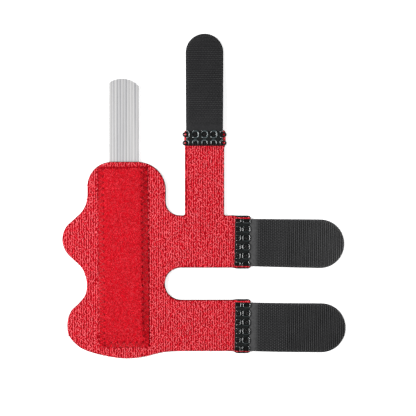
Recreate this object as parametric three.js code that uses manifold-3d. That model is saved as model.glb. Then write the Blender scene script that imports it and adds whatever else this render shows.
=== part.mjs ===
// A finger splint laid open and flat, in millimetres with +Z up.
// A knit wrap with three arms is backed by a lining. An aluminium stay slides in the pocket between the two,
// under a velour strip, and a hook tab is sewn on the end of each arm.
// The origin is on the resting face, at the middle of the strip's centreline. +Y points to the stay's tip.
import * as THREE from "three";
import { mergeVertices } from "three/addons/utils/BufferGeometryUtils.js";
import Module from "manifold-3d";

const wasm = await Module();
wasm.setup();

// Sheet thicknesses, and the air between sheets that lie on each other
const LINING_THICKNESS = 0.9;
const FACE_THICKNESS = 2.0;
const STRIP_THICKNESS = 1.1;
const TAPE_THICKNESS = 1.5;
const SHEET_GAP = 0.1;
const TAPE_GAP = 0.3;

// Aluminium stay
const STAY_LENGTH = 127;
const STAY_WIDTH = 15.2;
const STAY_THICKNESS = 1.5;
const STAY_EXPOSED = 43;
const STAY_END_RADIUS = 11.6;
const STAY_END_SHIFT = -1;
const RIB_COUNT = 10;
const RIB_HEIGHT = 0.12;

// Pocket of the stay: its air round the stay, and how far the cloth slopes down beside and beyond it
const POCKET_CLEARANCE = 0.2;
const POCKET_SLOPE = 4.8;
const POCKET_END_SLOPE = 11;

// Velour strip over the pocket
const STRIP_LENGTH = 93;
const STRIP_WIDTH = 25.4;
const STRIP_CORNER = 1.2;
const STRIP_TILT = 0.6;

// Wrap: distances from the strip's centreline across, and from the strip's ends along
const BODY_LEFT = 18.8;
const BODY_RIGHT = 21.4;
const TOP_MARGIN = 2.4;
const HEM_MARGIN = 5.9;
const LEFT_SHOULDER_RADIUS = 12.4;
const RIGHT_SHOULDER_RADIUS = 14.4;
const LOBE_REACH = 13;
const HEM_SAG = 3.8;

// Arms and the gaps between them
const LOWER_ARM_WIDTH = 26.2;
const FINGER_GAP = 16.9;
const MIDDLE_ARM_WIDTH = 26.8;
const ARM_REACH = 65.4;
const FINGER_GAP_ROOT = 20.9;
const UPPER_GAP = 10.2;
const UPPER_GAP_FILLET = 7.2;
const UPPER_ARM_WIDTH = 20;
const UPPER_ARM_LENGTH = 44.1;
const ARM_CORNER = 1.5;
const LINING_EDGE = 0.2;

// Sewn ends of the arms: the seam's length, how far it presses the wrap down, and the most that it pushes
// the sides of the wrap and of the lining out
const SEAM_LENGTH = 8.2;
const SEAM_PRESS = 0.7;
const SEAM_SLOPE = 1.6;
const SEAM_BULGE = 1.0;

// Hook tabs: the tape springs up just past the seam and sinks towards its tip
const WIDE_TAPE = 25;
const NARROW_TAPE = 19.2;
const TAPE_REACH = 49.2;
const TAPE_FLARE = 0.4;
const TAPE_PINCH = 0.6;
const TAPE_SKEW = 1.1;
const TAPE_SHIFT = 0.7;
const TAPE_CREST = 0.5;
const TAPE_CREST_AT = 7;
const TAPE_TIP_LIFT = 0.6;

// Segments of a round edge and of a free curve, how far a cutting shape runs past what it cuts,
// and the distance within which two points are one
const ARC_STEPS = 12;
const CURVE_STEPS = 4;
const CUT_PAST = 30;
const SAME_POINT = 1e-4;

// Places that follow from the sizes above
const bodyTop = STRIP_LENGTH / 2 + TOP_MARGIN;
const bodyBottom = -STRIP_LENGTH / 2 - HEM_MARGIN;
const bodyHeight = bodyTop - bodyBottom;
const hemLine = bodyBottom + HEM_SAG;
const fingerGapBottom = hemLine + LOWER_ARM_WIDTH;
const fingerGapTop = fingerGapBottom + FINGER_GAP;
const middleArmTop = fingerGapTop + MIDDLE_ARM_WIDTH;
const upperArmLeft = BODY_RIGHT + UPPER_GAP;
const upperArmRight = upperArmLeft + UPPER_ARM_WIDTH;
const upperArmEnd = middleArmTop + UPPER_ARM_LENGTH;
const faceBottom = LINING_THICKNESS + SHEET_GAP;
const faceTop = faceBottom + FACE_THICKNESS;
const stripBottom = faceTop + SHEET_GAP;
const stayBottom = LINING_THICKNESS + POCKET_CLEARANCE;
const stayTip = bodyTop + STAY_EXPOSED;
const stayFoot = stayTip - STAY_LENGTH;
const pocketRise = stayBottom + STAY_THICKNESS + POCKET_CLEARANCE - faceBottom;
const pocketHalf = STAY_WIDTH / 2 + POCKET_CLEARANCE;
const tapeBottom = faceTop - SEAM_PRESS + TAPE_GAP;

// Left edge of the wrap, from the shoulder down: `down` is a share of the body's height,
// `out` a share of the lobes' reach beyond the body's left side.
const LEFT_EDGE = [
  { down: 0.173, out: 0.0 },
  { down: 0.213, out: 0.06 },
  { down: 0.254, out: 0.23 },
  { down: 0.295, out: 0.56 },
  { down: 0.335, out: 0.87 },
  { down: 0.396, out: 1.0 },
  { down: 0.457, out: 0.85 },
  { down: 0.498, out: 0.54 },
  { down: 0.539, out: 0.22 },
  { down: 0.579, out: 0.08 },
  { down: 0.63, out: 0.02 },
  { down: 0.681, out: 0.1 },
  { down: 0.722, out: 0.35 },
  { down: 0.762, out: 0.66 },
  { down: 0.823, out: 0.8 },
  { down: 0.884, out: 0.73 },
  { down: 0.925, out: 0.47 },
];

// Bottom hem, from the lower lobe to the lower arm: `across` is a share of the body's width from its left
// side, `drop` a share of the hem's sag below the lower arm's edge.
const HEM_EDGE = [
  { across: -0.067, drop: -0.32 },
  { across: 0.087, drop: 0.28 },
  { across: 0.241, drop: 0.66 },
  { across: 0.395, drop: 0.93 },
  { across: 0.51, drop: 1.0 },
  { across: 0.625, drop: 0.92 },
  { across: 0.779, drop: 0.65 },
  { across: 0.933, drop: 0.22 },
  { across: 1.087, drop: 0.03 },
];

// The three sewn arm ends. `end` is the middle of the arm's end and `turn` the way it points, in degrees.
// `reach`, `skew`, `shift` and `pinch` are shares of the tape's reach past the arm, of its small turn away
// from the arm's line, of the small distance that it is sewn off that line, and of how far the seam narrows
// it. The other columns are shares of the seam's bulge, for the wrap's face and for its lining, on the right
// and the left of someone who looks along the arm.
const ARM_ENDS = [
  { name: "upper", end: [(upperArmLeft + upperArmRight) / 2, upperArmEnd], turn: 90,
    width: UPPER_ARM_WIDTH, tape: NARROW_TAPE, reach: 1.015, skew: 0, shift: 0, pinch: 0.25,
    faceRight: 0.7, faceLeft: 0.5, liningRight: 0.75, liningLeft: 0.2 },
  { name: "middle", end: [ARM_REACH, (fingerGapTop + middleArmTop) / 2], turn: 0,
    width: MIDDLE_ARM_WIDTH, tape: WIDE_TAPE, reach: 0.985, skew: -1, shift: -0.7, pinch: 1,
    faceRight: 0.2, faceLeft: -0.55, liningRight: 0.5, liningLeft: -0.14 },
  { name: "lower", end: [ARM_REACH, (hemLine + fingerGapBottom) / 2], turn: 0,
    width: LOWER_ARM_WIDTH, tape: WIDE_TAPE, reach: 1, skew: -1, shift: -0.7, pinch: 0,
    faceRight: 0.7, faceLeft: 0.05, liningRight: 0.9, liningLeft: 0.3 },
];

// three.js geometry to a manifold solid, and back
function solidOf(geometry) {
  const bare = geometry.index ? geometry.toNonIndexed() : geometry.clone();
  bare.deleteAttribute("normal");
  bare.deleteAttribute("uv");
  const merged = mergeVertices(bare, SAME_POINT);
  return new wasm.Manifold(
    new wasm.Mesh({
      numProp: 3,
      vertProperties: merged.attributes.position.array,
      triVerts: new Uint32Array(merged.index.array),
    }),
  );
}

function geometryOf(solid) {
  const mesh = solid.getMesh();
  const geometry = new THREE.BufferGeometry();
  geometry.setAttribute("position", new THREE.BufferAttribute(mesh.vertProperties, 3));
  geometry.setIndex(new THREE.BufferAttribute(mesh.triVerts, 1));
  const flat = geometry.toNonIndexed();
  flat.computeVertexNormals();
  return flat;
}

// A plan outline stood up between two heights
function upright(shape, low, high) {
  const geometry = new THREE.ExtrudeGeometry(shape, {
    depth: high - low,
    bevelEnabled: false,
    curveSegments: ARC_STEPS,
  });
  return solidOf(geometry.translate(0, 0, low));
}

// A profile drawn in X and Z, run along Y from `from` to `to`
function alongY(shape, from, to) {
  const geometry = new THREE.ExtrudeGeometry(shape, {
    depth: to - from,
    bevelEnabled: false,
    curveSegments: ARC_STEPS,
  });
  return solidOf(geometry.rotateX(Math.PI / 2).translate(0, to, 0));
}

// A profile drawn in Y and Z, run along X to both sides
function alongX(shape, half) {
  const geometry = new THREE.ExtrudeGeometry(shape, {
    depth: 2 * half,
    bevelEnabled: false,
    curveSegments: ARC_STEPS,
  });
  return solidOf(geometry.rotateZ(Math.PI / 2).rotateY(Math.PI / 2).translate(-half, 0, 0));
}

// Soft rise from one height to another with level ends, added to the path
function softStep(path, x0, z0, x1, z1) {
  const middle = (x0 + x1) / 2;
  path.bezierCurveTo(middle, z0, middle, z1, x1, z1);
}

// Everything under a sheet that lies flat at `height` and rises over the stay's pocket
function underDrape(height) {
  const low = height - CUT_PAST;
  const foot = pocketHalf + POCKET_SLOPE;
  const across = new THREE.Shape();
  across.moveTo(-foot, low);
  across.lineTo(foot, low);
  across.lineTo(foot, height);
  softStep(across, foot, height, pocketHalf, height + pocketRise);
  across.lineTo(-pocketHalf, height + pocketRise);
  softStep(across, -pocketHalf, height + pocketRise, -foot, height);
  across.closePath();

  const top = bodyTop + CUT_PAST;
  const end = stayFoot - POCKET_CLEARANCE;
  const along = new THREE.Shape();
  along.moveTo(end - POCKET_END_SLOPE, low);
  along.lineTo(top, low);
  along.lineTo(top, height + pocketRise);
  along.lineTo(end, height + pocketRise);
  softStep(along, end, height + pocketRise, end - POCKET_END_SLOPE, height);
  along.closePath();

  const ridge = alongY(across, end - POCKET_END_SLOPE - CUT_PAST, top)
    .intersect(alongX(along, foot + CUT_PAST));
  const reach = ARM_REACH + bodyHeight + LOBE_REACH;
  const ground = new THREE.BoxGeometry(2 * reach, 2 * reach, CUT_PAST);
  return ridge.add(solidOf(ground.translate(0, 0, height - CUT_PAST / 2)));
}

// A sheet of cloth with the given outline, draped over the pocket between two heights
function drapedSheet(outline, low, high) {
  const column = upright(outline, low - CUT_PAST, high + CUT_PAST);
  return underDrape(high).subtract(underDrape(low)).intersect(column);
}

// The plan of one arm's sewn end in one layer, "face" or "lining", walked from its right side to its left
function sewnEnd(arm, layer) {
  const half = arm.width / 2;
  const right = half + arm[`${layer}Right`] * SEAM_BULGE;
  const left = half + arm[`${layer}Left`] * SEAM_BULGE;
  const bulgeStart = -SEAM_LENGTH - SEAM_SLOPE;
  const bulgeFull = -SEAM_LENGTH + SEAM_SLOPE;
  const path = new THREE.Path();
  path.moveTo(bulgeStart, -half);
  softStep(path, bulgeStart, -half, bulgeFull, -right);
  path.lineTo(-ARM_CORNER, -right);
  path.absarc(-ARM_CORNER, ARM_CORNER - right, ARM_CORNER, -Math.PI / 2, 0, false);
  path.absarc(-ARM_CORNER, left - ARM_CORNER, ARM_CORNER, 0, Math.PI / 2, false);
  path.lineTo(bulgeFull, left);
  softStep(path, bulgeFull, left, bulgeStart, half);
  const start = new THREE.Vector2();
  const end = new THREE.Vector2(...arm.end);
  const way = THREE.MathUtils.degToRad(arm.turn);
  return path.getPoints(CURVE_STEPS).map((p) => p.rotateAround(start, way).add(end));
}

function linesThrough(path, points) {
  points.forEach((p) => path.lineTo(p.x, p.y));
}

// Points of a smooth curve through the given ones
function smoothThrough(points) {
  const knots = points.map((p) => new THREE.Vector3(p.x, p.y, 0));
  const curve = new THREE.CatmullRomCurve3(knots, false, "centripetal");
  return curve.getPoints(CURVE_STEPS * (points.length - 1));
}

// The cut outline of one layer of the wrap, counterclockwise from the right end of its top edge
function wrapOutline(layer) {
  const [upper, middle, lower] = ARM_ENDS.map((arm) => sewnEnd(arm, layer));
  const leftEdge = LEFT_EDGE.map((row) => ({
    x: -BODY_LEFT - row.out * LOBE_REACH,
    y: bodyTop - row.down * bodyHeight,
  }));
  const hem = HEM_EDGE.map((row) => ({
    x: -BODY_LEFT + row.across * (BODY_LEFT + BODY_RIGHT),
    y: hemLine - row.drop * HEM_SAG,
  }));
  const leftShoulder = new THREE.Vector2(
    -BODY_LEFT + LEFT_SHOULDER_RADIUS, bodyTop - LEFT_SHOULDER_RADIUS);
  const rightShoulder = new THREE.Vector2(BODY_RIGHT, bodyTop).subScalar(RIGHT_SHOULDER_RADIUS);
  const fillet = new THREE.Vector2(BODY_RIGHT, middleArmTop).addScalar(UPPER_GAP_FILLET);
  const gapRadius = FINGER_GAP / 2;
  const gap = new THREE.Vector2(FINGER_GAP_ROOT, fingerGapBottom).addScalar(gapRadius);
  const quarter = Math.PI / 2;
  const path = new THREE.Shape();
  path.moveTo(rightShoulder.x, bodyTop);
  path.lineTo(leftShoulder.x, bodyTop);
  path.absarc(leftShoulder.x, leftShoulder.y, LEFT_SHOULDER_RADIUS, quarter, 2 * quarter, false);
  linesThrough(path, smoothThrough([...leftEdge, ...hem]));
  path.lineTo(upperArmLeft, hemLine);
  linesThrough(path, lower);
  path.lineTo(gap.x, fingerGapBottom);
  path.absarc(gap.x, gap.y, gapRadius, -quarter, quarter, true);
  linesThrough(path, middle);
  path.lineTo(upperArmRight, middleArmTop);
  linesThrough(path, upper);
  path.lineTo(upperArmLeft, middleArmTop);
  path.absarc(fillet.x, fillet.y, UPPER_GAP_FILLET, -quarter, -2 * quarter, true);
  path.absarc(rightShoulder.x, rightShoulder.y, RIGHT_SHOULDER_RADIUS, 0, quarter, false);
  path.closePath();
  return path;
}

// The same outline moved outwards by a small distance
function grown(shape, distance) {
  const points = shape.getPoints(ARC_STEPS).filter((p, i, all) =>
    p.distanceTo(all[(i + 1) % all.length]) > SAME_POINT);
  const moved = points.map((p, i) => {
    const before = points[(i + points.length - 1) % points.length];
    const after = points[(i + 1) % points.length];
    const way = after.clone().sub(before).normalize();
    return new THREE.Vector2(p.x + way.y * distance, p.y - way.x * distance);
  });
  return new THREE.Shape(moved);
}

// A rectangle with round corners about the origin
function roundedRectangle(width, height, radius) {
  const x = width / 2 - radius;
  const y = height / 2 - radius;
  const path = new THREE.Shape();
  path.absarc(x, y, radius, 0, Math.PI / 2, false);
  path.absarc(-x, y, radius, Math.PI / 2, Math.PI, false);
  path.absarc(-x, -y, radius, Math.PI, 1.5 * Math.PI, false);
  path.absarc(x, -y, radius, 1.5 * Math.PI, 2 * Math.PI, false);
  path.closePath();
  return path;
}

// What the seam presses away from the top of the wrap at one arm's end
function seamPress({ end, turn, width }) {
  const low = faceTop - SEAM_PRESS;
  const high = faceTop + CUT_PAST;
  const start = -SEAM_LENGTH - TAPE_GAP;
  const profile = new THREE.Shape();
  profile.moveTo(start - SEAM_SLOPE, high);
  profile.lineTo(start - SEAM_SLOPE, faceTop);
  softStep(profile, start - SEAM_SLOPE, faceTop, start, low);
  profile.lineTo(SEAM_SLOPE, low);
  profile.lineTo(SEAM_SLOPE, high);
  profile.closePath();
  return alongY(profile, -width, width)
    .rotate([0, 0, turn])
    .translate([end[0], end[1], 0]);
}

// Knit wrap, with the pocket's channel under it
function makeFace() {
  const sheet = drapedSheet(wrapOutline("face"), faceBottom, faceTop);
  return ARM_ENDS.reduce((face, arm) => face.subtract(seamPress(arm)), sheet);
}

// Lining, cut a little larger than the wrap
function makeLining() {
  return upright(grown(wrapOutline("lining"), LINING_EDGE), 0, LINING_THICKNESS);
}

// Velour strip, draped over the wrap
function makeStrip() {
  const tilt = THREE.MathUtils.degToRad(STRIP_TILT);
  const centre = new THREE.Vector2();
  const corners = roundedRectangle(STRIP_WIDTH, STRIP_LENGTH, STRIP_CORNER).getPoints(CURVE_STEPS);
  const outline = new THREE.Shape(corners.map((p) => p.rotateAround(centre, tilt)));
  return drapedSheet(outline, stripBottom, stripBottom + STRIP_THICKNESS);
}

// Stay: a ribbed bar along Y whose two ends are cut to shallow arcs, standing on z = 0
function makeStay() {
  const half = STAY_WIDTH / 2;
  const pitch = STAY_WIDTH / RIB_COUNT;
  const valley = STAY_THICKNESS - RIB_HEIGHT;
  const section = new THREE.Shape();
  section.moveTo(-half, 0);
  section.lineTo(half, 0);
  section.lineTo(half, valley);
  for (let rib = 0; rib < RIB_COUNT; rib += 1) {
    const right = half - rib * pitch;
    section.quadraticCurveTo(right - pitch / 2, valley + 2 * RIB_HEIGHT, right - pitch, valley);
  }
  section.closePath();
  const bar = alongY(section, 0, STAY_LENGTH);

  const plan = new THREE.Shape();
  plan.absarc(STAY_END_SHIFT, STAY_LENGTH - STAY_END_RADIUS, STAY_END_RADIUS, 0, Math.PI, false);
  plan.absarc(STAY_END_SHIFT, STAY_END_RADIUS, STAY_END_RADIUS, Math.PI, 2 * Math.PI, false);
  plan.closePath();
  return bar.intersect(upright(plan, -CUT_PAST, CUT_PAST));
}

// Hook tab lying along +X from the seam, which is its length before x = 0
function makeTab({ tape, reach, pinch }) {
  const length = reach * TAPE_REACH;
  const rootHalf = (tape - pinch * TAPE_PINCH) / 2;
  const tipRadius = (tape + TAPE_FLARE) / 2;
  const plan = new THREE.Shape();
  plan.moveTo(-SEAM_LENGTH, rootHalf);
  plan.lineTo(-SEAM_LENGTH, -rootHalf);
  plan.lineTo(0, -rootHalf);
  plan.absarc(length - tipRadius, 0, tipRadius, -Math.PI / 2, Math.PI / 2, false);
  plan.lineTo(0, rootHalf);
  plan.closePath();

  const crest = tapeBottom + TAPE_CREST;
  const side = new THREE.Shape();
  side.moveTo(-SEAM_LENGTH, tapeBottom);
  side.lineTo(0, tapeBottom);
  softStep(side, 0, tapeBottom, TAPE_CREST_AT, crest);
  softStep(side, TAPE_CREST_AT, crest, length, TAPE_TIP_LIFT);
  side.lineTo(length, TAPE_TIP_LIFT + TAPE_THICKNESS);
  softStep(side, length, TAPE_TIP_LIFT + TAPE_THICKNESS, TAPE_CREST_AT, crest + TAPE_THICKNESS);
  softStep(side, TAPE_CREST_AT, crest + TAPE_THICKNESS, 0, tapeBottom + TAPE_THICKNESS);
  side.lineTo(-SEAM_LENGTH, tapeBottom + TAPE_THICKNESS);
  side.closePath();
  return alongY(side, -tape, tape).intersect(upright(plan, 0, CUT_PAST));
}

const looks = {
  face: { color: 0xc8202f, roughness: 0.95, metalness: 0 },
  lining: { color: 0x15161a, roughness: 0.9, metalness: 0 },
  strip: { color: 0xb5101e, roughness: 0.95, metalness: 0 },
  stay: { color: 0xc9c8ca, roughness: 0.4, metalness: 1 },
  tape: { color: 0x1d1e21, roughness: 0.6, metalness: 0 },
};

function named(name, solid, look) {
  const mesh = new THREE.Mesh(geometryOf(solid), new THREE.MeshStandardMaterial(looks[look]));
  mesh.name = name;
  return mesh;
}

const splint = new THREE.Group();
splint.add(named("face_fabric", makeFace(), "face"));
splint.add(named("lining", makeLining(), "lining"));
splint.add(named("velour_strip", makeStrip(), "strip"));

const stay = named("stay", makeStay(), "stay");
stay.position.set(0, stayFoot, stayBottom);
splint.add(stay);

for (const arm of ARM_ENDS) {
  const tab = named(`${arm.name}_hook_tab`, makeTab(arm), "tape");
  const holder = new THREE.Group();
  holder.position.set(arm.end[0], arm.end[1], 0);
  holder.rotation.z = THREE.MathUtils.degToRad(arm.turn);
  tab.position.set(0, arm.shift * TAPE_SHIFT, 0);
  tab.rotation.z = THREE.MathUtils.degToRad(arm.skew * TAPE_SKEW);
  holder.add(tab);
  splint.add(holder);
}

export default splint;
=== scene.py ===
# %% [markdown]
# # A finger splint, opened out flat
#
# The real object is a brace for a finger. A red loop-knit wrap with a black lining carries an aluminium
# stay in a long pocket, and black hook tabs on its arms grip the knit when it is wrapped round the hand.
#
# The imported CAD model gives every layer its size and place. Blender adds what makes the layers read as
# cloth: yarn, pile, hooks and thread. We could move the solids into place by eye, but loading them as a
# fixed frame means that every new piece can be measured against them.

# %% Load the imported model
import math

import bpy
import numpy as np
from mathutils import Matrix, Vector
from mathutils.bvhtree import BVHTree


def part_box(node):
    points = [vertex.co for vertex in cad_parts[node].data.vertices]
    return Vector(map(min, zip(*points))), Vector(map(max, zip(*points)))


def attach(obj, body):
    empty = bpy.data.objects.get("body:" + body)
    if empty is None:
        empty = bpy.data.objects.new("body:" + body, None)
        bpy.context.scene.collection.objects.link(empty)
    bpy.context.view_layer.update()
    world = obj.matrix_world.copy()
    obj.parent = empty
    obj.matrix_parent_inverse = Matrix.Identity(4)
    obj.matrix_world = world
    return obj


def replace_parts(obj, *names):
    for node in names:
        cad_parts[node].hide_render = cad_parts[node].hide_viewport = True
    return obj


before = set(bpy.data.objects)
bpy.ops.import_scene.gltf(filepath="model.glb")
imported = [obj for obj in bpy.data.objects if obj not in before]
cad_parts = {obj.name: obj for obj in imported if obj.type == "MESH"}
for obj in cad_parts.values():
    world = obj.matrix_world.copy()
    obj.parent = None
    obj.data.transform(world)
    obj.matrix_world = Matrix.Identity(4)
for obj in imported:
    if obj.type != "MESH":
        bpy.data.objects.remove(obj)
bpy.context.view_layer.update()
print("solids:", ", ".join(sorted(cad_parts)))

# %% [markdown]
# ## The camera
#
# A camera can be aimed by a constraint or by numbers. The splint lies flat and is seen straight from
# above, and a new camera already looks down with +Y up, so only its place is needed. The distance
# follows from the width that the picture has to show at the height of the cloth.

# %% Camera
MM = 0.001
PICTURE_WIDTH = 214.2
PICTURE_CENTRE = (43.4, 25.2)
CLOTH_HEIGHT = 3
LENS = 85

camera_data = bpy.data.cameras.new("camera")
camera_data.lens = LENS
distance = PICTURE_WIDTH * LENS / camera_data.sensor_width
camera = bpy.data.objects.new("camera", camera_data)
camera.location = Vector((*PICTURE_CENTRE, CLOTH_HEIGHT + distance)) * MM
bpy.context.scene.collection.objects.link(camera)
bpy.context.scene.camera = camera
print(f"camera {distance:.0f} mm above the cloth")

# %% [markdown]
# ## Studio light
#
# Product pictures use large lamps close to the object, which leave soft shadows. A weak white world stands
# for the walls of the room and fills the shadows. Two long strip lamps hang left and right of the object
# and run along +Y, so that every thread that runs the same way carries a bright line. Square lamps would
# light the cloth as well, but would leave only a dot on each thread. The left lamp is the stronger one, so
# that slopes to the right lie in a slight shade.

# %% Light
WORLD_STRENGTH = 0.22
LAMPS = [
    {"name": "left_strip", "place": (-230, 25, 380), "length": 260, "width": 60, "watts": 2.5},
    {"name": "right_strip", "place": (316, 25, 380), "length": 260, "width": 60, "watts": 1.1},
]

world = bpy.data.worlds.new("white_room")
world.use_nodes = True
world.node_tree.nodes["Background"].inputs["Color"].default_value = (1, 1, 1, 1)
world.node_tree.nodes["Background"].inputs["Strength"].default_value = WORLD_STRENGTH
bpy.context.scene.world = world
bpy.context.scene.view_settings.view_transform = "Standard"

target = Vector((*PICTURE_CENTRE, 0)) * MM
for row in LAMPS:
    lamp_data = bpy.data.lights.new(row["name"], "AREA")
    lamp_data.shape = "RECTANGLE"
    lamp_data.energy = row["watts"]
    lamp_data.size = row["length"] * MM
    lamp_data.size_y = row["width"] * MM
    lamp = bpy.data.objects.new(row["name"], lamp_data)
    lamp.location = Vector(row["place"]) * MM
    lamp.rotation_euler = (target - lamp.location).to_track_quat("-Z", "Y").to_euler()
    bpy.context.scene.collection.objects.link(lamp)
print(f"{len(LAMPS)} lamps")

# %% [markdown]
# ## Fibre materials
#
# Cloth is never one flat colour: the dye wanders a little, and every fibre catches the light. The crests of
# the threads get a painted highlight, paler than the hollows. One helper makes all the cloth and thread
# materials. A noise texture runs between two tones, and a second pair of tones takes over where the mesh
# says that it is a crest; that second pair carries the painted light. A much finer noise feeds a bump node.
# Image textures would do too, but noise has no seams and needs no unwrapping.

# %% A helper for fibre materials
NOISE_DETAIL = 3
TONE_ENDS = (0.35, 0.65)


def fibre_material(name, low, high, patch, fibre, roughness, bump=0.5, specular=0.2, coat=0.0):
    """Tones for hollows and for crests, whose paler tones are painted light, wander over `patch` mm, and
    the bump has a grain of `fibre` mm.
    """
    material = bpy.data.materials.new(name)
    material.use_nodes = True
    nodes = material.node_tree.nodes
    links = material.node_tree.links
    shader = nodes["Principled BSDF"]
    shader.inputs["Roughness"].default_value = roughness
    shader.inputs["Specular IOR Level"].default_value = specular
    shader.inputs["Coat Weight"].default_value = coat
    shader.inputs["Coat Roughness"].default_value = roughness
    place = nodes.new("ShaderNodeTexCoord")
    tone = nodes.new("ShaderNodeTexNoise")
    tone.inputs["Scale"].default_value = 1 / (patch * MM)
    tone.inputs["Detail"].default_value = NOISE_DETAIL
    crest = nodes.new("ShaderNodeAttribute")
    crest.attribute_name = "crest"
    blend = nodes.new("ShaderNodeMixRGB")
    for colours, socket in ((low, "Color1"), (high, "Color2")):
        ramp = nodes.new("ShaderNodeValToRGB")
        for stop, position, colour in zip(ramp.color_ramp.elements, TONE_ENDS, colours):
            stop.position = position
            stop.color = (*colour, 1)
        links.new(tone.outputs["Fac"], ramp.inputs["Fac"])
        links.new(ramp.outputs["Color"], blend.inputs[socket])
    grain = nodes.new("ShaderNodeTexNoise")
    grain.inputs["Scale"].default_value = 1 / (fibre * MM)
    grain.inputs["Detail"].default_value = NOISE_DETAIL
    relief = nodes.new("ShaderNodeBump")
    relief.inputs["Strength"].default_value = bump
    relief.inputs["Distance"].default_value = fibre * MM / 2
    links.new(place.outputs["Object"], tone.inputs["Vector"])
    links.new(crest.outputs["Fac"], blend.inputs["Fac"])
    links.new(blend.outputs["Color"], shader.inputs["Base Color"])
    links.new(place.outputs["Object"], grain.inputs["Vector"])
    links.new(grain.outputs["Fac"], relief.inputs["Height"])
    links.new(relief.outputs["Normal"], shader.inputs["Normal"])
    return material


print("noise detail:", NOISE_DETAIL)

# %% [markdown]
# The tones are read off the photograph. Hollows are pure, deep colours, because the light in them has
# bounced from fibre to fibre, and crests are paler: the crest tones of yarn, thread, hooks and cord are
# painted highlight. The pale tones of the hook tape are painted sheen, and the deep red of the knit's
# ground, the dark red round the velour's needle holes and the black in the seam holes are painted shade.
# The thick cord of the arm seams is shiny nylon, so it alone gets a coat.

# %% Cloth and thread
SHADED_GROUND_RED = ((0.23, 0.0, 0.003), (0.34, 0.001, 0.007))
PRESSED_RED = ((0.48, 0.002, 0.010), (0.64, 0.005, 0.016))
YARN_HOLLOW = ((0.48, 0.001, 0.009), (0.60, 0.003, 0.015))
YARN_HIGHLIGHT = ((0.84, 0.009, 0.030), (0.94, 0.19, 0.22))
HOLE_SHADE_RED = ((0.07, 0.0, 0.001), (0.12, 0.0, 0.002))
VELOUR_RED = ((0.40, 0.001, 0.006), (0.52, 0.003, 0.012))
PILE_HOLLOW = ((0.52, 0.001, 0.007), (0.66, 0.002, 0.012))
PILE_CREST = ((0.90, 0.007, 0.026), (1.0, 0.065, 0.095))
SEAM_HOLLOW = ((0.22, 0.001, 0.004), (0.32, 0.002, 0.008))
SEAM_HIGHLIGHT = ((0.85, 0.08, 0.09), (1.0, 0.20, 0.21))
JERSEY_BLACK = ((0.004, 0.004, 0.005), (0.010, 0.010, 0.012))
TAPE_BLACK = ((0.004, 0.004, 0.005), (0.008, 0.008, 0.009))
TAPE_SHEEN_GREY = ((0.038, 0.038, 0.039), (0.056, 0.056, 0.057))
HOOK_HOLLOW = ((0.024, 0.024, 0.025), (0.034, 0.034, 0.035))
HOOK_HIGHLIGHT = ((0.30, 0.30, 0.304), (0.39, 0.39, 0.395))
HOLE_SHADE_BLACK = ((0.001, 0.001, 0.001), (0.003, 0.003, 0.003))
WEB_GREY = ((0.004, 0.005, 0.005), (0.010, 0.011, 0.011))
CORD_HOLLOW = ((0.001, 0.003, 0.003), (0.002, 0.006, 0.006))
CORD_HIGHLIGHT = ((0.035, 0.050, 0.054), (0.070, 0.095, 0.100))

knit_ground = fibre_material(
    "knit_ground", SHADED_GROUND_RED, PRESSED_RED, patch=2.0, fibre=0.2, roughness=0.95, specular=0.1
)
knit_yarn = fibre_material(
    "knit_yarn", YARN_HOLLOW, YARN_HIGHLIGHT, patch=1.2, fibre=0.12, roughness=0.5, specular=0.25
)
velour_cloth = fibre_material(
    "velour_cloth", HOLE_SHADE_RED, VELOUR_RED, patch=1.0, fibre=0.15, roughness=0.95, specular=0.1
)
velour_fibre = fibre_material(
    "velour_fibre", PILE_HOLLOW, PILE_CREST, patch=1.2, fibre=0.1, roughness=0.5, specular=0.3
)
red_thread = fibre_material(
    "red_thread", SEAM_HOLLOW, SEAM_HIGHLIGHT, patch=0.8, fibre=0.08, roughness=0.6, specular=0.05
)
black_lining = fibre_material(
    "black_lining", JERSEY_BLACK, JERSEY_BLACK, patch=1.2, fibre=0.25, roughness=0.9
)
hook_ground = fibre_material("hook_ground", TAPE_BLACK, TAPE_SHEEN_GREY, patch=0.9, fibre=0.2, roughness=0.6)
hook_nylon = fibre_material(
    "hook_nylon", HOOK_HOLLOW, HOOK_HIGHLIGHT, patch=6.0, fibre=0.1, roughness=0.42, bump=0.1
)
seam_webbing = fibre_material(
    "seam_webbing", HOLE_SHADE_BLACK, WEB_GREY, patch=0.8, fibre=0.12, roughness=0.7, specular=0.1
)
black_thread = fibre_material(
    "black_thread", CORD_HOLLOW, CORD_HOLLOW, patch=1.0, fibre=0.12, roughness=0.6
)
glossy_cord = fibre_material(
    "glossy_cord", CORD_HOLLOW, CORD_HIGHLIGHT, patch=1.0, fibre=0.12, roughness=0.22, bump=0.03,
    specular=0.8, coat=0.5,
)
print("fibre materials:", len(bpy.data.materials))

# %% [markdown]
# ## Measuring the solids
#
# Every layer lies on the one below, so we need the height of a solid under any point. We could copy the
# CAD formulas, but a ray shot down at the solid itself always gives the true height. A BVH tree makes
# thousands of such rays quick. From here on all numbers are in millimetres.

# %% Rulers
HIGH_ABOVE = 50
DOWN = Vector((0, 0, -1))
UP = Vector((0, 0, 1))


def tree_of(node):
    """A search tree of one solid, in millimetres."""
    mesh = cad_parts[node].data
    points = [vertex.co / MM for vertex in mesh.vertices]
    return BVHTree.FromPolygons(points, [tuple(face.vertices) for face in mesh.polygons])


def heights(tree, places, way=DOWN):
    """Height of the solid's top (or, looking up, of its underside) at each place; NaN beside it."""
    found = np.full(len(places), np.nan)
    for row, (x, y) in enumerate(places):
        hit = tree.ray_cast(Vector((x, y, -way.z * HIGH_ABOVE)), way)[0]
        if hit:
            found[row] = hit.z
    return found


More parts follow.
